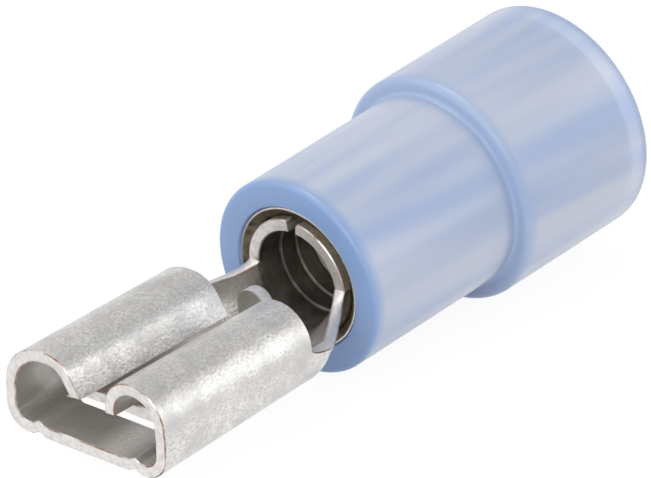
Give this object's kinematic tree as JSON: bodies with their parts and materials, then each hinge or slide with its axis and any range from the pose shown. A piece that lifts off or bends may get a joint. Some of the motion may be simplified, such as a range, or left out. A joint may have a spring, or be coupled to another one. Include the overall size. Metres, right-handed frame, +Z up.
{
  "type": "female_spade_terminal",
  "caption": "Nylon-insulated female spade terminal: rolled tinned-brass receptacle with a tab stop, seamed and serrated wire barrel, stepped crimp sleeve and two-stage blue insulator.",
  "frame": {"origin": "middle of the object's box, at the level of the surface that it rests on", "axes": "+X along the terminal from the receptacle's mouth to the wire end, +Y to the left seen from the mouth, +Z up; the barrel axis rises 4.8 degrees towards +X, because the part lies on the front rims of the insulator's two stages"},
  "size_m": [0.019, 0.0064, 0.0068],
  "materials": {
    "tinned_brass": "satin",
    "bare_brass": "satin",
    "blue_nylon": "satin"
  },
  "bodies": {
    "root": {"terminal": "tinned_brass", "crimp_sleeve": "bare_brass", "insulator": "blue_nylon"}
  },
  "joints": []
}
